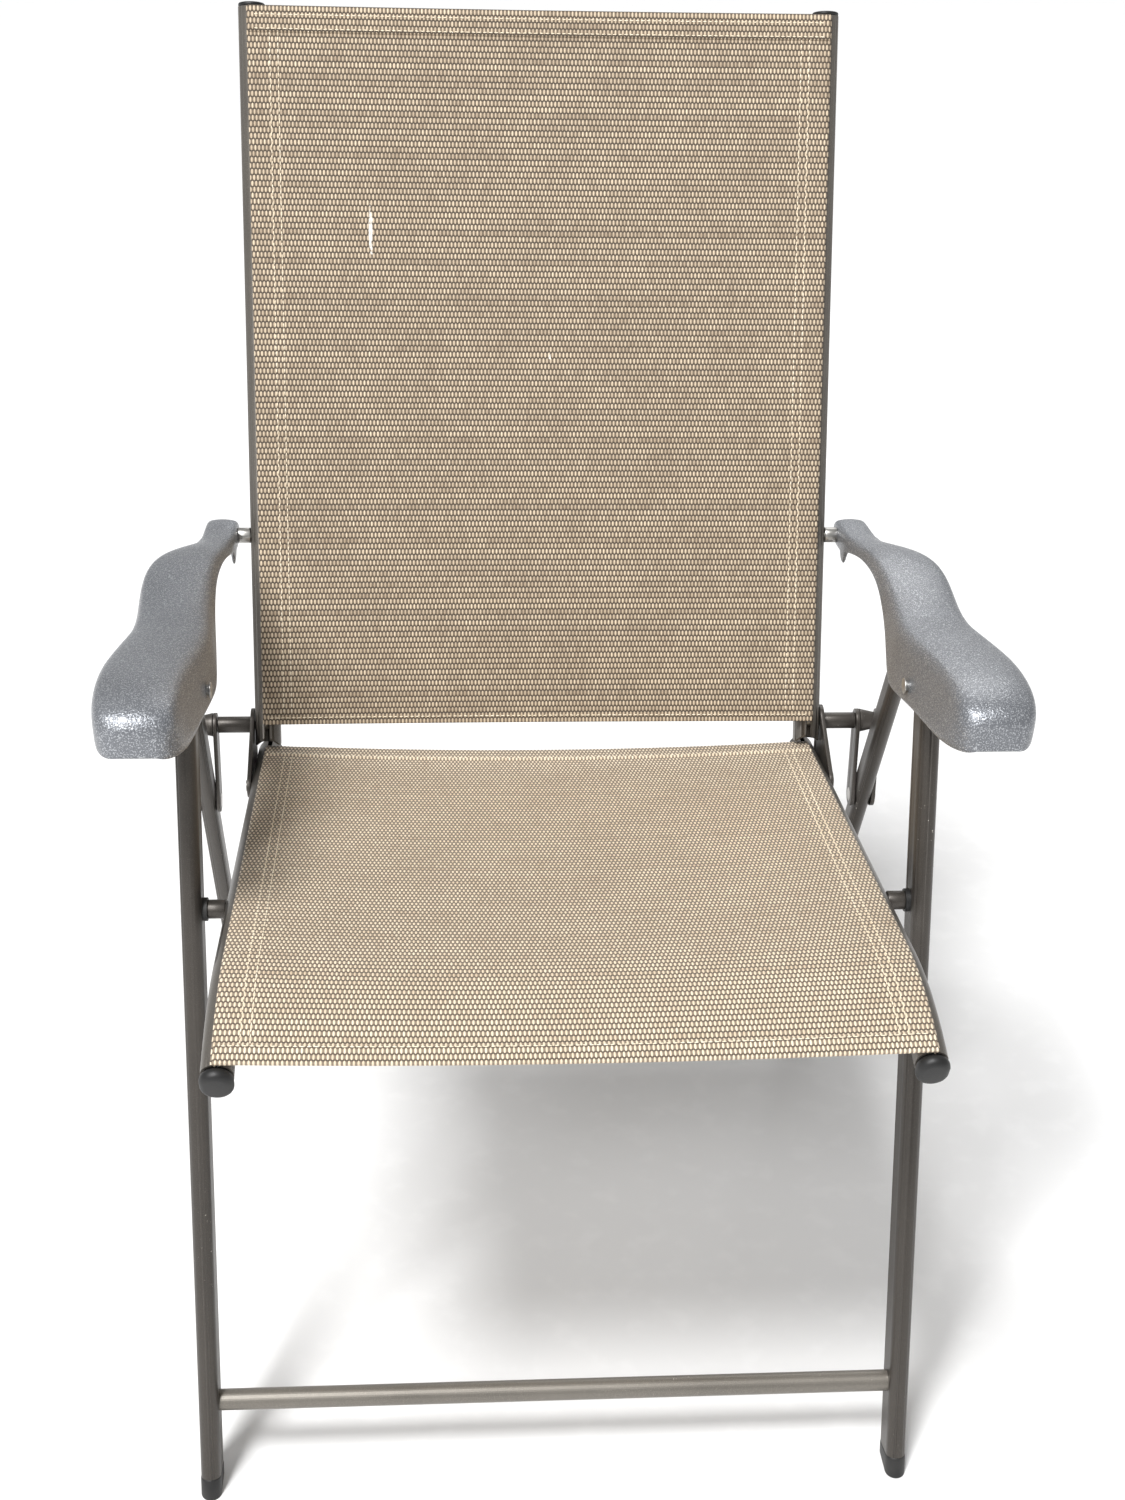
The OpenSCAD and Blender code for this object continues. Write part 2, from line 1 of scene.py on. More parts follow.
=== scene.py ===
# %% [markdown]
# # A folding sling armchair
# This file dresses a folding garden chair. Its steel frame, its pivots and its sizes come ready
# made, as a fixed frame of named nodes, each on the body that it moves with. What is made here is
# what a design drawing leaves out: the two woven slings with their hems and stitches, the moulded
# arms, the softened edges of the steel and of the caps, and every finish. Lengths are in metres.

# %% Load the fixed frame
import json
import math
import random

import bpy
from mathutils import Matrix, Vector


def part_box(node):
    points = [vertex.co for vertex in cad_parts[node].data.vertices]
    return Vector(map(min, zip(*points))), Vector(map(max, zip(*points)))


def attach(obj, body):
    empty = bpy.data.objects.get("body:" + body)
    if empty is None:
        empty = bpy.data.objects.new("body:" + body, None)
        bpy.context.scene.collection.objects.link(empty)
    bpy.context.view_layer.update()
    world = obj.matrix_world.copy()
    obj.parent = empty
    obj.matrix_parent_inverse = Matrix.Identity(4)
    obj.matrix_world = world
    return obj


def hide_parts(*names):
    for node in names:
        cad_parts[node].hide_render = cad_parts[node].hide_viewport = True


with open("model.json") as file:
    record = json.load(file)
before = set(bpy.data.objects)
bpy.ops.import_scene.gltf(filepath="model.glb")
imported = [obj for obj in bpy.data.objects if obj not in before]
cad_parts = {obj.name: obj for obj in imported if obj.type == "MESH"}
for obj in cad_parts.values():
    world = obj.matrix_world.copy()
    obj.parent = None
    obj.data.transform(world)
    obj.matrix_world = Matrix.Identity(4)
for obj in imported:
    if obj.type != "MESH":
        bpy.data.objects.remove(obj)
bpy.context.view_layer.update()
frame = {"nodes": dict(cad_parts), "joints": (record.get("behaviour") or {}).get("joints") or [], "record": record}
MM = 0.001
bpy.ops.object.select_all(action="DESELECT")

# %% [markdown]
# The joints tell where everything pivots. Reading the pivots and the rails' width from the frame, and
# not from a list of numbers, means that the cloth and the arms stay in place when the design changes.

# %% Find the pivots and the rails
PIVOT = {joint["name"]: Vector(joint["pos_m"]) for joint in frame["joints"]}
SEAT_PIVOT = PIVOT["seat_fold"]
ARM_PIVOT = PIVOT["left_arm_fold"]
HINGE = PIVOT["back_fold"]
print("seat pivot", SEAT_PIVOT, "arm pivot", ARM_PIVOT, "hinge", HINGE)
RAIL_LOW, RAIL_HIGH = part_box("seat_rail_right")
RAIL_OUT = RAIL_HIGH.x
RAIL_W = RAIL_HIGH.x - RAIL_LOW.x
RAIL_MID = RAIL_OUT - RAIL_W / 2
print("rails", round(RAIL_MID, 4), "from the middle,", round(RAIL_W, 4), "wide")

# %% [markdown]
# The camera stands in front of the chair, a little to the left of its middle, at the height of a
# standing person's chest, and looks down at it. Its direction is given by three turns, because that
# is how a hand-held camera is described: how far it is swung to the side, dipped, and rolled.

# %% Place the camera
CAMERA_PLACE = Vector((-0.087, -1.269, 1.1523))
CAMERA_SWING, CAMERA_DIP, CAMERA_ROLL = (math.radians(a) for a in (4.32, 28.5, -1.6))

forward = Vector((
    math.sin(CAMERA_SWING) * math.cos(CAMERA_DIP),
    math.cos(CAMERA_SWING) * math.cos(CAMERA_DIP),
    -math.sin(CAMERA_DIP),
))
level = Vector((math.cos(CAMERA_SWING), -math.sin(CAMERA_SWING), 0))
down = forward.cross(level)
camera_right = level * math.cos(CAMERA_ROLL) + down * math.sin(CAMERA_ROLL)
camera_up = camera_right.cross(forward)
bpy.ops.object.camera_add(location=CAMERA_PLACE)
camera = bpy.context.object
camera.rotation_euler = Matrix((camera_right, camera_up, -forward)).transposed().to_euler()
camera.data.lens = 47.7
camera.data.clip_start = 0.05
bpy.context.scene.camera = camera
print("camera looks along", [round(v, 3) for v in forward])

# %% [markdown]
# A broad, soft light high on the left, like a sun behind thin cloud, makes the seat and the tops of the
# arms the brightest surfaces and leaves the fronts of the legs dark. It lies evenly on the whole floor.
# A weaker lamp from the left front puts a sheen on the noses of the arms, and one from behind draws the
# upper edges.

# %% Lights, floor and background
def soft_lamp(name, place, aim, size, power):
    bpy.ops.object.light_add(type="AREA", location=place)
    lamp = bpy.context.object
    lamp.name = name
    lamp.data.size = size
    lamp.data.energy = power
    lamp.rotation_euler = (Vector(aim) - Vector(place)).to_track_quat("-Z", "Y").to_euler()
    return lamp


CHAIR_MIDDLE = (0, 0, 0.45)
bpy.ops.object.light_add(type="SUN", location=(-1, -1, 3))
high_light = bpy.context.object
high_light.name = "high_light"
high_light.data.energy = 3.2
high_light.data.angle = math.radians(16)
high_light.rotation_euler = Vector((0.34, 0.42, -1.0)).to_track_quat("-Z", "Y").to_euler()
soft_lamp("front_lamp", (-1.2, -2.2, 2.2), (0, -0.2, 0.6), 0.5, 30)
soft_lamp("back_lamp", (0.6, 2.4, 2.4), CHAIR_MIDDLE, 1.6, 20)

bpy.ops.mesh.primitive_plane_add(size=40)
floor = bpy.context.object
floor.name = "floor"

world = bpy.data.worlds.new("pale_room")
world.use_nodes = True
world.node_tree.nodes["Background"].inputs["Color"].default_value = (1, 1, 1, 1)
world.node_tree.nodes["Background"].inputs["Strength"].default_value = 0.42
bpy.context.scene.world = world
bpy.context.scene.view_settings.view_transform = "Standard"
print("lights", [lamp.name for lamp in bpy.data.lights])

# %% [markdown]
# Finishes are node trees, and node trees are long-winded to write. The small class below wraps one
# socket and overloads the arithmetic signs, so that `1 - mask * 0.5` adds the two Math nodes that it
# needs. A Finish holds one material; its `node` method makes any other kind of node.

# %% Shader arithmetic
class Wire:
    """A socket that can be added, multiplied and compared."""

    def __init__(self, finish, socket):
        self.finish, self.socket = finish, socket

    def math(self, operation, *others):
        return self.finish.node("ShaderNodeMath", {"operation": operation}, self, *others)

    def __add__(self, other):
        return self.math("ADD", other)

    __radd__ = __add__

    def __mul__(self, other):
        return self.math("MULTIPLY", other)

    __rmul__ = __mul__

    def __sub__(self, other):
        return self.math("SUBTRACT", other)

    def __rsub__(self, other):
        return self.finish.node("ShaderNodeMath", {"operation": "SUBTRACT"}, other, self)

    def __truediv__(self, other):
        return self.math("DIVIDE", other)

    def above(self, edge, blur):
        """0 below the edge and 1 above it, with a soft step between."""
        return self.finish.node(
            "ShaderNodeMapRange", {"interpolation_type": "SMOOTHSTEP"}, self, edge - blur, edge + blur
        )


class Finish:
    """One material: its Principled shader and the nodes that feed it."""

    def __init__(self, name, **constants):
        self.material = bpy.data.materials.new(name)
        self.material.use_nodes = True
        self.tree = self.material.node_tree
        self.shader = self.tree.nodes["Principled BSDF"]
        for socket, value in constants.items():
            self.shader.inputs[socket.replace("_", " ")].default_value = value

    def node(self, kind, settings=None, *values, out=0, **named):
        made = self.tree.nodes.new(kind)
        for key, value in (settings or {}).items():
            setattr(made, key, value)
        for key, value in [*enumerate(values), *named.items()]:
            self.put(made.inputs[key.replace("_", " ") if isinstance(key, str) else key], value)
        return Wire(self, made.outputs[out])

    def put(self, socket, value):
        if isinstance(value, Wire):
            self.tree.links.new(value.socket, socket)
        elif isinstance(value, tuple) and len(value) == 3 and socket.type == "RGBA":
            socket.default_value = (*value, 1)
        else:
            socket.default_value = value

    def feed(self, socket, value):
        self.put(self.shader.inputs[socket], value)

    def place(self):
        return self.node("ShaderNodeTexCoord", out="Object")

    def across_along(self):
        """The distances across and along a piece of cloth, from its own UV map."""
        where = self.node("ShaderNodeUVMap", {"uv_map": "UVMap"})
        parts = self.tree.nodes.new("ShaderNodeSeparateXYZ")
        self.put(parts.inputs[0], where)
        return [Wire(self, socket) for socket in parts.outputs[:2]]

    def noise(self, scale, detail=2.0, where=None, roughness=0.5):
        where = where or self.place()
        return self.node("ShaderNodeTexNoise", None, Vector=where, Scale=scale, Detail=detail,
                         Roughness=roughness)

    def blend(self, share, low, high):
        mix = self.tree.nodes.new("ShaderNodeMix")
        mix.data_type = "RGBA"
        for socket, value in ((0, share), (6, low), (7, high)):
            self.put(mix.inputs[socket], value)
        return Wire(self, mix.outputs[2])

    def bump(self, height, depth, strength=1.0):
        self.feed("Normal", self.node("ShaderNodeBump", None, Height=height, Distance=depth,
                                      Strength=strength))


print("shader helpers ready")

# %% [markdown]
# The steel is powder coated in a dark bronze that leans to taupe. Powder leaves a very fine orange
# peel and flecks of metal in the colour. Where the chair has been knocked, the coat has chipped to a
# pale primer in small, sharp-edged spots, mostly low down, so the chips are a thresholded noise.

# %% Powder-coated steel
def powder_coat(name, dark, light, chip_edge):
    coat = Finish(name, Metallic=0.55, Coat_Weight=0.12, Coat_Roughness=0.3)
    cloudy = coat.noise(14, 3)
    fleck = coat.noise(2600, 1).above(0.62, 0.05)
    colour = coat.blend(cloudy, dark, light)
    colour = coat.blend(fleck * 0.35, colour, tuple(min(1, 2.2 * c) for c in light))
    spread = coat.noise(9, 2).above(0.56, 0.06)
    chip = coat.noise(330, 4, roughness=0.65).above(chip_edge, 0.012) * spread
    coat.feed("Base Color", coat.blend(chip, colour, (0.62, 0.58, 0.52)))
    coat.feed("Roughness", 0.34 + cloudy * 0.16 + chip * 0.2)
    coat.bump(coat.noise(1500, 2) - chip * 0.8, 0.00008, 0.8)
    return coat.material


coated_steel = powder_coat("coated_steel", (0.046, 0.041, 0.036), (0.080, 0.071, 0.062), 0.695)
# The rails' coat and the crossbars' coat are this same coat made lighter: painted light for their sunlit upper
# faces
rail_coat_painted_light = powder_coat("rail_coat_painted_light", (0.105, 0.095, 0.083), (0.160, 0.146, 0.128), 0.72)
bar_coat_painted_light = powder_coat("bar_coat_painted_light", (0.150, 0.138, 0.120), (0.215, 0.198, 0.173), 0.70)
print("powder coat on the steel")

# %% [markdown]
# The arms are moulded with a pebbled skin and a silver-grey metallic paint, which breaks a highlight
# into sparks. Voronoi cells about a millimetre and a half across give the pebbles, and a fine
# noise varies the roughness and the tone, so that every pebble catches the light a little differently.

# %% Moulded arms, black plastic and plated steel
def arm_paint():
    paint = Finish("arm_paint", Coat_Weight=0.25, Coat_Roughness=0.22)
    where = paint.place()
    pebble = paint.node("ShaderNodeTexVoronoi", {"feature": "F1"}, Vector=where, Scale=620.0)
    grain = paint.noise(1100, 2, where)
    tone = paint.noise(22, 3, where)
    base = paint.blend(tone, (0.130, 0.137, 0.151), (0.205, 0.215, 0.235))
    spark = grain.above(0.58, 0.05)
    paint.feed("Base Color", paint.blend(spark * 0.7, base, (0.62, 0.64, 0.67)))
    paint.feed("Metallic", 0.45 + spark * 0.35)
    paint.feed("Roughness", 0.27 + grain * 0.25)
    paint.bump((1 - pebble) * 0.6 + grain * 0.5, 0.00045, 0.9)
    return paint.material


def plain_finish(name, dark, light, roughness, metallic, grain_scale, depth):
    plain = Finish(name, Metallic=metallic)
    grain = plain.noise(grain_scale, 3)
    worn = plain.noise(35, 4).above(0.6, 0.12)
    plain.feed("Base Color", plain.blend(worn, dark, light))
    plain.feed("Roughness", roughness + grain * 0.15 + worn * 0.08)
    plain.bump(grain, depth)
    return plain.material


arm_skin = arm_paint()
black_plastic = plain_finish("black_plastic", (0.009, 0.009, 0.009), (0.026, 0.025, 0.024),
                             0.42, 0.0, 1200, 0.00006)
zinc_plate = plain_finish("zinc_plate", (0.42, 0.41, 0.39), (0.56, 0.55, 0.53),
                          0.26, 0.95, 700, 0.00003)
floor_paint = plain_finish("floor_paint", (0.80, 0.80, 0.80), (0.83, 0.83, 0.83),
                           0.6, 0.0, 60, 0.0001)
floor.data.materials.append(floor_paint)
print("finishes", [material.name for material in bpy.data.materials])

# %% [markdown]
# The cloth is a basket of coated yarns. Thick pale yarns run up the cloth and float over one row of
# the dark cross yarns, then dive under the next, and their neighbours do the opposite. So each row is
# a line of pale ovals, and the next row is the same line moved half a step to the side. The dark colour
# between the ovals is partly the cross yarns' own and partly painted shade in the hollows of the weave.
# The pattern is worked out from the cloth's own UV map, which is in metres, so that it runs true round
# the front curve of the seat. Slow noise changes the tone from yarn to yarn, as in real dyed lots.

# %% Woven cloth
YARN_STEP = 2.8 * MM
ROW_STEP = 4.3 * MM


def woven(name, pale, middle_tone, dark, scuffs=()):
    cloth = Finish(name, Roughness=0.62, Sheen_Weight=0.12, Sheen_Roughness=0.5)
    across, along = cloth.across_along()
    row = (along / ROW_STEP).math("FLOOR")
    shift = row.math("MODULO", 2.0) * 0.5
    column = across / YARN_STEP + shift
    from_yarn = (column.math("FRACT") - 0.5).math("ABSOLUTE") * 2
    from_row = ((along / ROW_STEP).math("FRACT") - 0.5).math("ABSOLUTE") * 2
    # An oval that is high in its middle, where the pale yarn floats over
    float_up = 1 - from_yarn * from_yarn * 2.3 - (from_row * from_row) * (from_row * 0.95)
    float_up = float_up.math("MAXIMUM", 0.0)
    # The cross yarn shows between the ovals as a rounded bar, lighter in its middle; its darker edges are painted
    # shade
    bar = 1 - from_row * from_row
    under = (1 - float_up.above(0.1, 0.1)) * bar
    ident = cloth.node("ShaderNodeCombineXYZ", None, column.math("FLOOR") * 0.37, row * 0.73, 0.0)
    yarn_tone = cloth.node("ShaderNodeTexWhiteNoise", {"noise_dimensions": "2D"}, Vector=ident)
    patch = cloth.noise(26, 4)
    streak = cloth.node("ShaderNodeTexNoise", {"noise_dimensions": "1D"}, W=row * 0.61, Detail=1.0,
                        Scale=1.0)
    tone = yarn_tone * 0.45 + patch * 0.7 + streak * 0.8 - 0.48
    pale_yarn = cloth.blend(tone, middle_tone, pale)
    # The cross yarn: its own dark colour, with painted shade deepest at the bar's edges and in the gaps between
    # the ovals
    deep = cloth.blend(under, dark, tuple(0.40 * m + 0.60 * d for m, d in zip(middle_tone, dark)))
    colour = cloth.blend(float_up.above(0.34, 0.24), deep, pale_yarn)
    for scuff_x, scuff_y, half_w, half_l in scuffs:
        side = (across - scuff_x) / half_w
        length = (along - scuff_y) / half_l
        inside = 1 - side * side - length * length
        torn = cloth.noise(420, 4)
        colour = cloth.blend((inside * 0.55 + torn - 0.22).above(0.62, 0.1) * 0.9, colour,
                             (0.86, 0.83, 0.77))
    cloth.feed("Base Color", colour)
    cloth.feed("Roughness", 0.72 - float_up * 0.22)
    cloth.bump(float_up * 0.75 + under * 0.4, 0.0006, 0.9)
    return cloth.material


PALE_YARN = (0.80, 0.66, 0.48)
MIDDLE_YARN = (0.40, 0.305, 0.21)
# The darkest tone is partly the cross yarn's own colour and partly painted shade in the weave's hollows
DARK_YARN_AND_SHADE = (0.040, 0.028, 0.019)
# The seat's yarns are a lighter copy of the back's: painted light, as the seat faces up into the light
SEAT_PALE_YARN_PAINTED_LIGHT = (0.92, 0.79, 0.60)
SEAT_MIDDLE_YARN_PAINTED_LIGHT = (0.62, 0.49, 0.35)
back_weave = woven("back_weave", PALE_YARN, MIDDLE_YARN, DARK_YARN_AND_SHADE,
                   scuffs=((0.093, 0.394, 0.0022, 0.026), (0.229, 0.302, 0.0016, 0.004)))
seat_weave = woven("seat_weave", SEAT_PALE_YARN_PAINTED_LIGHT, SEAT_MIDDLE_YARN_PAINTED_LIGHT, DARK_YARN_AND_SHADE)
thread_finish = plain_finish("stitch_thread", (0.84, 0.73, 0.56), (0.94, 0.86, 0.71),
                             0.6, 0.0, 900, 0.00005)
print("cloth woven at", YARN_STEP, "by", ROW_STEP)

# %% [markdown]
# The steel nodes have the right shape but knife-sharp edges. Real pressed plates, caps and rivets
# have small rounded edges that catch the light. Each visible node is copied and the copy's loose
# triangles are merged; on the plates, the plated fasteners and the caps the flat faces are joined and a
# narrow bevel is put on. The copy takes the node's place and its body.

# %% Helpers for finishing a steel or plastic piece
BODY_OF = {node: body for body, nodes in frame["record"]["behaviour"]["bodies"].items() for node in nodes}


def only(piece):
    """Makes one piece the only one selected, and the active one."""
    bpy.ops.object.select_all(action="DESELECT")
    piece.select_set(True)
    bpy.context.view_layer.objects.active = piece


def dressed(node, name, finish, edge=0.0, rounds=2):
    source = frame["nodes"][node]
    piece = bpy.data.objects.new(name, source.data.copy())
    bpy.context.scene.collection.objects.link(piece)
    only(piece)
    bpy.ops.object.mode_set(mode="EDIT")
    bpy.ops.mesh.select_all(action="SELECT")
    bpy.ops.mesh.remove_doubles(threshold=0.00001)
    if edge:
        bpy.ops.mesh.dissolve_limited(angle_limit=math.radians(0.6))
    bpy.ops.object.mode_set(mode="OBJECT")
    if edge:
        bevel = piece.modifiers.new("rounded_edges", "BEVEL")
        bevel.width, bevel.segments = edge, rounds
        bevel.limit_method, bevel.angle_limit = "ANGLE", math.radians(40)
        bevel.harden_normals = False
        bpy.ops.object.modifier_apply(modifier=bevel.name)
    bpy.ops.object.shade_smooth_by_angle(angle=math.radians(30))
    piece.data.materials.clear()
    piece.data.materials.append(finish)
    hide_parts(node)
    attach(piece, BODY_OF[node])
    return piece


# %% Dress the tubes, plates, caps and fasteners
TUBES = ("front_leg_left", "front_leg_right", "rear_leg_left", "rear_leg_right",
         "front_crossbar", "rear_crossbar", "back_upper_crossbar", "back_lower_crossbar",
         "seat_front_crossbar", "seat_rear_crossbar")
RAILS = ("back_rail_left", "back_rail_right", "seat_rail_left", "seat_rail_right")
PLATES = ("hinge_plate_left", "hinge_plate_right", "link_inner_left", "link_inner_right",
          "link_outer_left", "link_outer_right", "link_spacers", "link_cones")
BRIGHT = ("seat_pivot_bolts", "seat_pivot_spacers", "hinge_rivets", "link_studs",
          "link_rivets_left", "link_rivets_right", "arm_rivets_left", "arm_rivets_right",
          "arm_bolts", "arm_spacers")
DARK = ("seat_pivot_washers", "arm_bushes_left", "arm_bushes_right", "back_hem_rods",
        "seat_hem_rods")
CAPS = ("seat_rear_caps", "back_top_caps")
FEET = ("front_foot_caps", "rear_foot_caps")

# The crossbars and the rails take the lighter copies of the coat, which are painted light
for node in TUBES:
    dressed(node, node + "_tube", bar_coat_painted_light if "crossbar" in node else coated_steel)
for node in RAILS:
    dressed(node, node + "_tube", rail_coat_painted_light)
for node in PLATES:
    dressed(node, node + "_plate", coated_steel, 0.5 * MM)
for node in BRIGHT:
    steel = coated_steel if node == "seat_pivot_spacers" else zinc_plate
    dressed(node, node + "_steel", steel, 0.5 * MM)
for node in DARK:
    dressed(node, node + "_black", black_plastic)
for node in CAPS:
    dressed(node, node + "_black", black_plastic, 1.2 * MM, 3)
for node in FEET:
    dressed(node, node + "_black", black_plastic, 3 * MM, 4)
dressed("seat_front_caps", "seat_front_caps_black", black_plastic, 4.2 * MM, 5)
print("dressed", len(TUBES + RAILS + PLATES + BRIGHT + DARK + CAPS + FEET) + 1)

# %% [markdown]
# Each sling lies a hair above its two rails and is held by cords in its hems, which slide in the slots
# of the rails. One function knows the seat's line: straight, then an arc down in front. The other knows
# the back's line. Both take a distance across, a distance along from the lower end, and a height above
# the middle of the rails, so the cloth, its hems and its stitches all use the same two functions.

# %% The lines that the cloth follows
SEAT_SLOPE = math.radians(7)
SEAT_STRAIGHT = 0.372
SEAT_BEHIND = 0.282
SEAT_CURVE_R = 0.200
SEAT_CURVE_LENGTH = SEAT_CURVE_R * math.radians(27)
RECLINE = math.radians(18.101)
HINGE_UP = 0.015
HINGE_BEHIND = 0.003

SEAT_FORWARD = Vector((0, -math.cos(SEAT_SLOPE), math.sin(SEAT_SLOPE)))
SEAT_NORMAL = Vector((0, math.sin(SEAT_SLOPE), math.cos(SEAT_SLOPE)))
SEAT_REAR = Vector((0, SEAT_PIVOT.y, SEAT_PIVOT.z)) - SEAT_FORWARD * SEAT_BEHIND
KNEE = SEAT_REAR + SEAT_FORWARD * SEAT_STRAIGHT
CURVE_CENTRE = KNEE - SEAT_NORMAL * SEAT_CURVE_R
BACK_WAY = Vector((0, math.sin(RECLINE), math.cos(RECLINE)))
BACK_NORMAL = Vector((0, -math.cos(RECLINE), math.sin(RECLINE)))
BACK_FOOT = Vector((0, HINGE.y, HINGE.z)) + BACK_NORMAL * HINGE_BEHIND - BACK_WAY * HINGE_UP


def on_seat(across, along, height):
    if along <= SEAT_STRAIGHT:
        place = SEAT_REAR + SEAT_FORWARD * along + SEAT_NORMAL * height
    else:
        angle = math.pi / 2 - SEAT_SLOPE + (along - SEAT_STRAIGHT) / SEAT_CURVE_R
        outwards = Vector((0, math.cos(angle), math.sin(angle)))
        place = CURVE_CENTRE + outwards * (SEAT_CURVE_R + height)
    return place + Vector((across, 0, 0))


def on_back(across, along, height):
    return BACK_FOOT + BACK_WAY * along + BACK_NORMAL * height + Vector((across, 0, 0))


print("seat from", SEAT_REAR, "back from", BACK_FOOT)

# %% [markdown]
# The cloth is a grid, because a woven sheet has a grid's own two directions. Its rows are even, and its
# columns crowd together near the sides, where the sheet rolls over the rail's edge and dives into the
# slot. It hangs a few millimetres in the middle, and the tight seams pucker it a little along the
# sides. A Solidify modifier then gives it its thickness.

# %% A sling
CLOTH_MIDDLE = 12.85 * MM
CLOTH_THICK = 0.9 * MM
SEAM_LINES = (0.1955, 0.2015)
EDGE_ROLL = ((-9.0, 12.85), (-4.0, 12.9), (-0.5, 13.1), (1.8, 13.05), (2.7, 12.75), (2.2, 12.5),
             (1.1, 11.9), (0.6, 10.8), (0.4, 9.6))
SAG_HALF_WIDTH = RAIL_MID - 9 * MM
PUCKER_STEP = 13.5 * MM
PUCKER_HEIGHT = 0.22 * MM
PUCKER_REACH = 11 * MM
CLOTH_ROW = 3.2 * MM


def half_profile():
    """Half of the sling's width as (across, height), from its middle to its slot."""
    open_part = [i * 0.018 for i in range(10)]
    open_part += [0.170, 0.177, 0.183, 0.188, 0.192, 0.1955, 0.1985, 0.2015, 0.2035]
    flat = [(x, CLOTH_MIDDLE) for x in open_part]
    return flat + [(RAIL_MID + x * MM, h * MM) for x, h in EDGE_ROLL]


def across_profile():
    half = half_profile()
    profile = [(-x, h) for x, h in reversed(half[1:])] + half
    distance, total = [0.0], 0.0
    for (x0, h0), (x1, h1) in zip(profile, profile[1:]):
        total += math.hypot(x1 - x0, h1 - h0)
        distance.append(total)
    return profile, distance


def sag_at(across, along, start, end, sag, seed):
    """How far the cloth hangs below the rails' line at a place."""
    inside = max(0.0, 1 - (across / SAG_HALF_WIDTH) ** 2)
    drop = sag * inside * (0.75 + 0.25 * math.sin(math.pi * (along - start) / (end - start)))
    nearness = math.exp(-(((abs(across) - SEAM_LINES[0]) / PUCKER_REACH) ** 2))
    wave = math.sin(2 * math.pi * along / PUCKER_STEP + seed + 9 * across)
    wave += 0.6 * math.sin(2 * math.pi * along / (PUCKER_STEP * 2.7) + 2 * seed)
    return drop + PUCKER_HEIGHT * nearness * wave


def sheet_grid(name, rows, place_row, finish):
    """A grid of cloth: place_row(column, row) gives a corner's place and its distance along."""
    profile, distance = across_profile()
    columns = len(profile)
    bpy.ops.mesh.primitive_grid_add(x_subdivisions=columns - 1, y_subdivisions=rows - 1, size=1)
    piece = bpy.context.object
    piece.name = name
    spots = []
    for vertex in piece.data.vertices:
        column = round((vertex.co.x + 0.5) * (columns - 1))
        row = round((vertex.co.y + 0.5) * (rows - 1))
        place, along = place_row(profile[column], row)
        spots.append((distance[column], along))
        vertex.co = place
    uv = piece.data.uv_layers[0]
    uv.name = "UVMap"
    for loop in piece.data.loops:
        uv.data[loop.index].uv = spots[loop.vertex_index]
    piece.data.materials.append(finish)
    return piece


def sling(name, line, start, end, sag, finish, node, seed):
    rows = round((end - start) / CLOTH_ROW)

    def corner(spot, row):
        across, height = spot
        along = start + (end - start) * row / (rows - 1)
        return line(across, along, height - sag_at(across, along, start, end, sag, seed)), along

    piece = sheet_grid(name, rows, corner, finish)
    only(piece)
    wall = piece.modifiers.new("thickness", "SOLIDIFY")
    wall.thickness, wall.offset = CLOTH_THICK, 0.0
    bpy.ops.object.modifier_apply(modifier=wall.name)
    bpy.ops.object.shade_smooth()
    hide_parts(node)
    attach(piece, BODY_OF[node])
    print(name, "has", len(piece.data.polygons), "faces")
    return piece


BACK_SPAN = (0.018, 0.5545)
SEAT_SPAN = (0.018, SEAT_STRAIGHT + SEAT_CURVE_LENGTH)
BACK_SAG = 5 * MM
SEAT_SAG = 7 * MM
BACK_SEED, SEAT_SEED = 0.4, 1.9
back_cloth = sling("back_sling_cloth", on_back, *BACK_SPAN, BACK_SAG, back_weave, "back_sling", BACK_SEED)
seat_cloth = sling("seat_sling_cloth", on_seat, *SEAT_SPAN, SEAT_SAG, seat_weave, "seat_sling", SEAT_SEED)

# %% [markdown]
# At its two open ends each sling is folded over and sewn down, so there it is three layers thick. The
# fold is a flat sleeve round the end of the sheet: the same grid of columns, but its rows run once
# round the fold, and the last row is welded to the first.

# %% Folded hems
FOLD = ((0.0, 0.75), (0.8, 1.55), (5.0, 1.75), (10.0, 1.5), (15.0, 1.7), (18.6, 1.75), (19.6, 1.0),
        (19.8, 0.0), (19.6, -0.45), (18.0, -0.62), (10.0, -0.62), (1.0, -0.62), (0.0, -0.5), (0.0, 0.75))


def hem(name, line, edge, inward, sag, finish, body, width, span, seed):
    """A fold round the end of a sling. edge is the place along, and inward is +1 or -1."""
    scale = width / 19.8

    def corner(spot, row):
        across, height = spot
        depth, lift = FOLD[row]
        along = edge + inward * (depth * scale - 0.5) * MM
        reach = RAIL_MID + 1.8 * MM
        inside = max(-reach, min(reach, across))
        height = max(height, CLOTH_MIDDLE - 0.1 * MM) if abs(across) > RAIL_MID else height
        drop = sag_at(inside, along, *span, sag, seed)
        return line(inside, along, height + lift * MM - drop), along

    piece = sheet_grid(name, len(FOLD), corner, finish)
    only(piece)
    bpy.ops.object.mode_set(mode="EDIT")
    bpy.ops.mesh.select_all(action="SELECT")
    bpy.ops.mesh.remove_doubles(threshold=0.00002)
    bpy.ops.mesh.fill_holes(sides=0)
    bpy.ops.mesh.select_all(action="SELECT")
    bpy.ops.mesh.normals_make_consistent(inside=False)
    bpy.ops.object.mode_set(mode="OBJECT")
    bpy.ops.object.shade_smooth_by_angle(angle=math.radians(50))
    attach(piece, body)
    return piece


def back_hem(name, edge, inward, width):
    return hem(name, on_back, edge, inward, BACK_SAG, back_weave, "back_frame", width,
               BACK_SPAN, BACK_SEED)


def seat_hem(name, edge, inward, width):
    return hem(name, on_seat, edge, inward, SEAT_SAG, seat_weave, "seat_frame", width,
               SEAT_SPAN, SEAT_SEED)


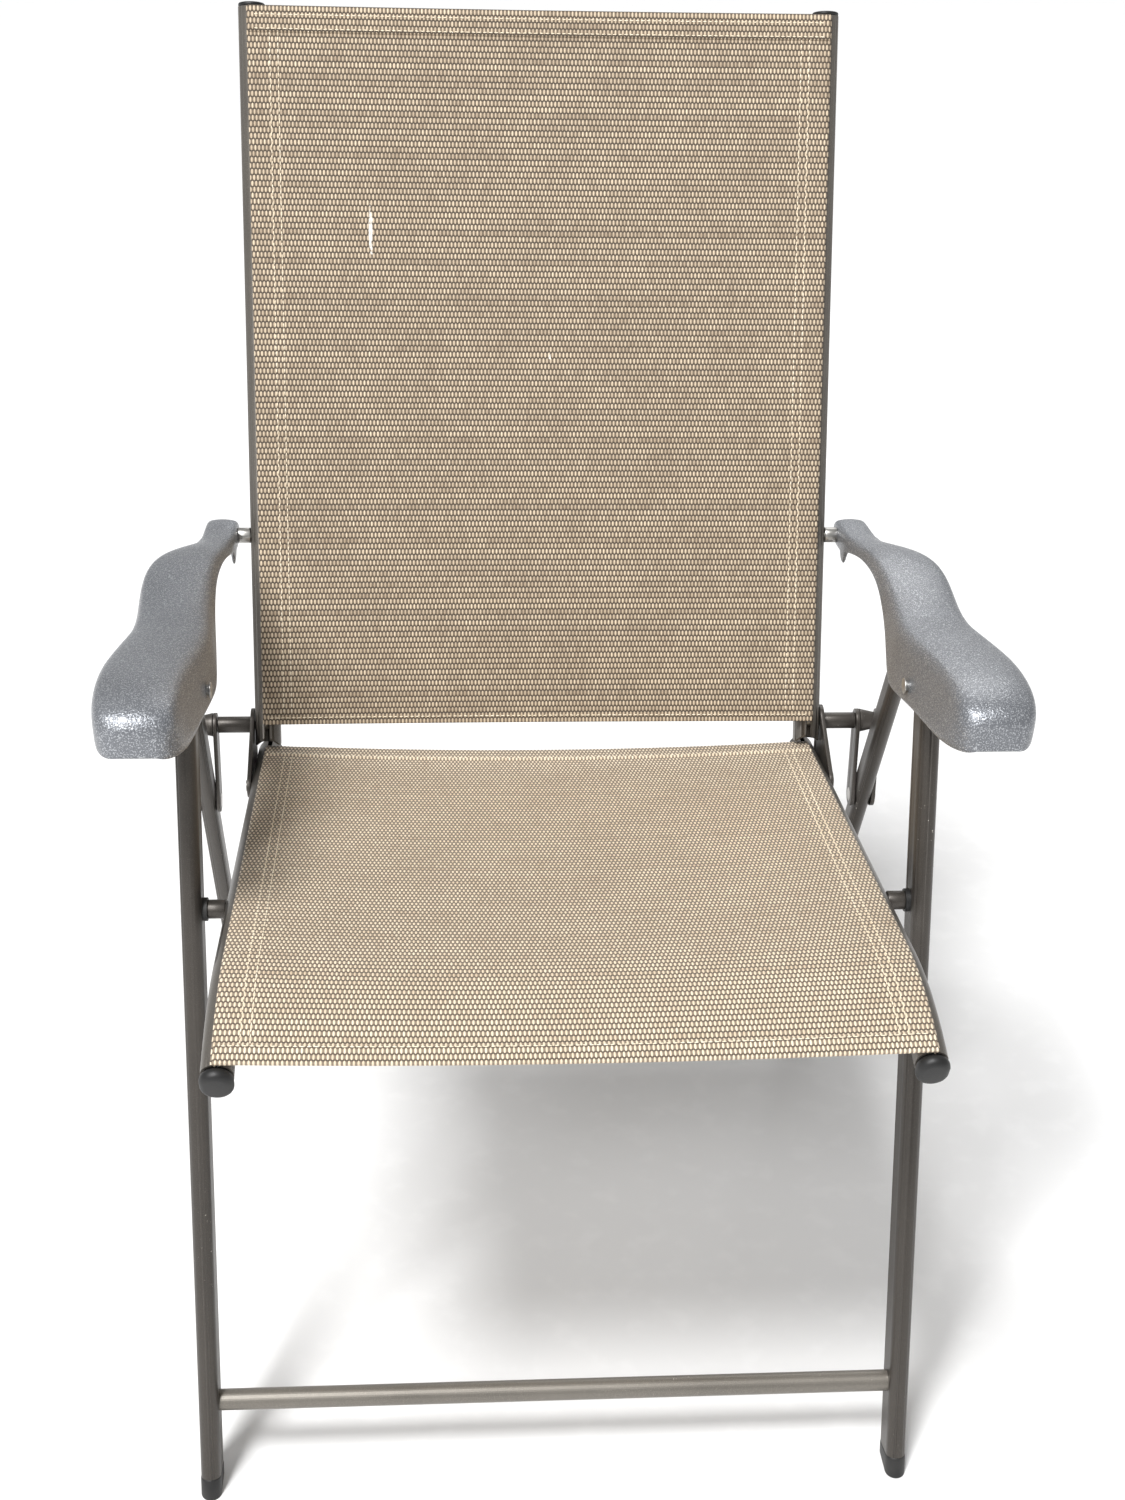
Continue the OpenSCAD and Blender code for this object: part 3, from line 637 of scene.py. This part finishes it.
hems = {
    "back_top": back_hem("back_top_hem", BACK_SPAN[1], -1, 19),
    "back_low": back_hem("back_low_hem", BACK_SPAN[0], 1, 8),
    "seat_rear": seat_hem("seat_rear_hem", SEAT_SPAN[0], 1, 20),
    "seat_front": seat_hem("seat_front_hem", SEAT_SPAN[1], -1, 14),
}
print("hems", [piece.name for piece in hems.values()])

# %% [markdown]
# The seams are sewn with a pale, thick thread, in two rows down each side and one or two along a hem.
# One stitch is a low ball stretched to a grain of rice. It is made once and then laid end to end along
# every seam, each copy turned along the seam and sunk a little into the cloth, with small seeded
# differences in its length and its angle, because a sewing machine is never quite even.

# %% Stitches
STITCH_STEP = 4.2 * MM
rng = random.Random(7)
bpy.ops.mesh.primitive_ico_sphere_add(subdivisions=1, radius=1)
grain_of_rice = bpy.context.object
STITCH_CORNERS = [vertex.co.copy() for vertex in grain_of_rice.data.vertices]
STITCH_FACES = [tuple(face.vertices) for face in grain_of_rice.data.polygons]
bpy.data.objects.remove(grain_of_rice)


def seam_points(line, first, last, span, sag, seed, lift):
    """Places along a seam between two (across, along) points, with the cloth's normal there."""
    length = math.hypot(last[0] - first[0], last[1] - first[1])
    steps = int(length / STITCH_STEP)
    for i in range(steps):
        share = (i + 0.5) / steps
        across = first[0] + (last[0] - first[0]) * share
        along = first[1] + (last[1] - first[1]) * share
        drop = sag_at(across, along, *span, sag, seed)
        low = line(across, along, CLOTH_MIDDLE - drop)
        high = line(across, along, CLOTH_MIDDLE - drop + 0.001)
        step = 0.001 / length
        ahead = line(across + (last[0] - first[0]) * step, along + (last[1] - first[1]) * step,
                     CLOTH_MIDDLE - drop)
        normal = (high - low).normalized()
        yield low + normal * lift, (ahead - low).normalized(), normal


def stitches(name, seams, body):
    corners, faces = [], []
    for seam in seams:
        for place, way, normal in seam_points(*seam):
            side = normal.cross(way)
            lean = rng.uniform(-0.12, 0.12)
            way, side = way + side * lean, side - way * lean
            size = (1.95 * MM * rng.uniform(0.9, 1.05), 0.48 * MM, 0.36 * MM)
            base = len(corners)
            corners += [place + way * c.x * size[0] + side * c.y * size[1] + normal * c.z * size[2]
                        for c in STITCH_CORNERS]
            faces += [tuple(base + v for v in face) for face in STITCH_FACES]
    mesh = bpy.data.meshes.new(name)
    mesh.from_pydata(corners, [], faces)
    piece = bpy.data.objects.new(name, mesh)
    bpy.context.scene.collection.objects.link(piece)
    only(piece)
    bpy.ops.object.shade_smooth()
    mesh.materials.append(thread_finish)
    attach(piece, body)
    print(name, len(faces) // len(STITCH_FACES), "stitches")
    return piece


FLAT_LIFT = CLOTH_THICK / 2 + 0.1 * MM
HEM_LIFT = 1.75 * MM


def sling_seams(line, span, sag, seed, hem_rows):
    start, end = span
    rows = []
    for side in (-1, 1):
        for across in SEAM_LINES:
            rows.append((line, (side * across, start + 0.004), (side * across, end - 0.004), span, sag,
                         seed, FLAT_LIFT))
    for along in hem_rows:
        reach = RAIL_MID - 2 * MM
        rows.append((line, (-reach, along), (reach, along), span, sag, seed, HEM_LIFT))
    return rows


back_thread = stitches("back_stitches", sling_seams(
    on_back, BACK_SPAN, BACK_SAG, BACK_SEED,
    (BACK_SPAN[0] + 5 * MM, BACK_SPAN[1] - 16 * MM, BACK_SPAN[1] - 6 * MM)), "back_frame")
seat_thread = stitches("seat_stitches", sling_seams(
    on_seat, SEAT_SPAN, SEAT_SAG, SEAT_SEED,
    (SEAT_SPAN[0] + 17 * MM, SEAT_SPAN[1] - 11 * MM)), "seat_frame")

CLOTH_CUT = across_profile()[1][-1]
print("each sling is cut", round(CLOTH_CUT, 4), "wide")

# %% [markdown]
# The arms are hollow mouldings, open below, with a deep inner skirt that hides the pivots and a shallow
# outer one. A shape that changes its section all along its length is best lofted: one U-shaped
# section is described by its inner and outer edge, its top and its two lower edges, and a row of such
# sections from the drooping nose to the thin neck is bridged. The first sections are filled, which makes
# the nose's front wall. Three subdivision levels round the whole arm.

# %% Loft the arms
ARM_INSIDE = RAIL_OUT + 6.5 * MM
ARM_WALL = 2.6 * MM
# Along, inner top edge, outer top edge, top, inner skirt's inset and lower edge, outer lower edge
ARM_STATIONS = (
    (-108.0, 24, 43, 21.0, 0.0, 10.0, 10.0),
    (-107.3, 18, 50, 26.0, 0.0, 7.0, 7.5),
    (-104.5, 14, 55, 30.5, 1.0, 5.5, 6.5),
    (-99.0, 11, 59, 34.0, 2.0, 4.5, 6.0),
    (-92.0, 9.5, 61.5, 36.0, 3.0, 3.0, 6.0),
    (-76.0, 8.5, 64, 37.8, 4.5, -0.5, 6.5),
    (-50.0, 8.5, 65.8, 36.3, 6.5, -4.0, 8.0),
    (-22.0, 6.5, 65.8, 33.0, 5.5, -8.5, 9.0),
    (4.0, 3.5, 63.2, 29.5, 3.5, -14.0, 9.5),
    (28.0, 1.5, 60, 26.5, 1.5, -20.0, 10.0),
    (44.0, 1.2, 57.6, 24.5, 1.2, -23.5, 9.5),
    (55.0, 2.0, 56.8, 23.5, 1.5, -22.0, 9.0),
    (64.0, 3.0, 56.5, 23.0, 1.8, -16.5, 9.0),
    (76.0, 4.0, 56.5, 22.6, 2.0, -4.5, 9.0),
    (95.0, 6.0, 57.5, 22.3, 2.0, 4.5, 9.5),
    (125.0, 8.2, 59.5, 23.2, 2.0, 13.0, 11.5),
    (150.0, 8.8, 59, 23.8, 2.0, 15.0, 12.5),
    (172.0, 8.2, 55.5, 22.6, 2.0, 14.0, 12.5),
    (190.0, 6.8, 49, 20.0, 1.5, 11.5, 11.0),
    (206.0, 5.2, 40.5, 16.8, 1.0, 7.5, 8.0),
    (220.0, 4.2, 33, 13.8, 0.5, 3.0, 3.0),
    (232.0, 3.6, 29.5, 12.0, 0.2, -1.0, -1.5),
    (236.0, 3.2, 28.8, 11.4, 0.0, -8.0, -4.0),
    (238.5, 3.1, 28.6, 11.0, 0.0, -14.5, -5.0),
    (248.5, 3.0, 28.4, 10.0, 0.0, -15.0, -6.5),
    (251.5, 3.0, 28.4, 9.6, 0.0, -9.0, -7.5),
    (256.0, 3.0, 28.4, 9.2, 0.0, -9.0, -8.5),
    (270.0, 3.0, 28.4, 8.0, 0.0, -11.0, -10.5),
    (281.0, 3.0, 28.4, 6.4, 0.0, -10.5, -10.0),
    (283.4, 3.2, 28.2, 5.4, 0.0, -9.5, -9.0),
    (284.0, 4.6, 26.8, 3.6, 0.0, -7.5, -7.5),
)
NOSE_FILLED_TO = -104.0
NECK_FROM = 225.0
EDGE_ROUND = 8.5
NECK_ROUND = 4.5


def arm_section(along, inner, outer, top, inset, low_in, low_out):
    """The U-shaped section as a ring of (across, up), in millimetres, from the inner skirt's edge."""
    wall = ARM_WALL / MM
    span = outer - inner
    depth = top - max(low_in, low_out)
    r = min(EDGE_ROUND if along < NECK_FROM else NECK_ROUND, span * 0.32, depth * 0.75)
    low_x = inner - inset
    half_up = (low_in + top - r) / 2
    half_x = inner - inset * 0.45
    crown = min(1.6, span * 0.03)
    mid = (inner + outer) / 2
    w = min(wall, span * 0.2, depth * 0.35)
    outside = [(low_x, low_in), (half_x, half_up), (inner, top - r), (inner + 0.28 * r, top - 0.28 * r),
               (inner + r, top), (mid - span * 0.12, top + crown), (mid + span * 0.12, top + crown),
               (outer - r, top), (outer - 0.28 * r, top - 0.28 * r), (outer, top - r),
               (outer - 0.4, (low_out + top - r) / 2), (outer - 0.8, low_out)]
    inside = [(outer - 0.8 - w, low_out), (outer - w, top - r), (outer - r, top - w),
              (mid, top + crown - w), (inner + r, top - w), (inner + w, top - r),
              (half_x + w, half_up), (low_x + w, low_in)]
    if along < NOSE_FILLED_TO:
        low = min(low_in, low_out) + 0.4
        inside = [(x, min(up, low)) for x, up in inside]
    return outside + inside


def arm(side, name):
    rings = []
    for along, *shape in ARM_STATIONS:
        ring = arm_section(along, *shape)
        bpy.ops.mesh.primitive_circle_add(vertices=len(ring), radius=1)
        loop = bpy.context.object
        for vertex, (x, up) in zip(loop.data.vertices, ring):
            vertex.co = ((ARM_INSIDE + x * MM) * side, ARM_PIVOT.y + along * MM, ARM_PIVOT.z + up * MM)
        rings.append(loop)
    for loop in rings:
        loop.select_set(True)
    piece = rings[0]
    bpy.context.view_layer.objects.active = piece
    bpy.ops.object.join()
    piece.name = name
    bpy.ops.object.mode_set(mode="EDIT")
    bpy.ops.mesh.select_all(action="SELECT")
    bpy.ops.mesh.bridge_edge_loops()
    bpy.ops.object.mode_set(mode="OBJECT")
    return piece


def close_ends(piece):
    """Faces across the first and last section, between the outer skin and the inner one."""
    ring = len(arm_section(*ARM_STATIONS[0]))
    last = len(piece.data.vertices) - ring
    outside = ring - 8
    mesh = piece.data
    corners = [vertex.co.copy() for vertex in mesh.vertices]
    faces = [tuple(face.vertices) for face in mesh.polygons]
    # Across the gap, the eight inner corners pair with these outer ones
    pairs = (11, 9, 7, 5, 4, 2, 1, 0)
    for base in (0, last):
        for i in range(len(pairs) - 1):
            outer_run = list(range(pairs[i + 1], pairs[i] + 1))
            faces.append(tuple([base + outside + i + 1, base + outside + i]
                               + [base + v for v in reversed(outer_run)]))
    mesh.clear_geometry()
    mesh.from_pydata(corners, [], faces)


def finish_arm(side, name, node):
    piece = arm(side, name)
    close_ends(piece)
    only(piece)
    bpy.ops.object.mode_set(mode="EDIT")
    bpy.ops.mesh.select_all(action="SELECT")
    bpy.ops.mesh.normals_make_consistent(inside=False)
    bpy.ops.object.mode_set(mode="OBJECT")
    rounder = piece.modifiers.new("rounder", "SUBSURF")
    rounder.levels = rounder.render_levels = 3
    bpy.ops.object.modifier_apply(modifier=rounder.name)
    bpy.ops.object.shade_smooth()
    piece.data.materials.clear()
    piece.data.materials.append(arm_skin)
    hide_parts(node)
    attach(piece, BODY_OF[node])
    print(name, "has", len(piece.data.polygons), "faces")
    return piece


finish_arm(1, "arm_moulding_right", "armrest_right")
finish_arm(-1, "arm_moulding_left", "armrest_left")
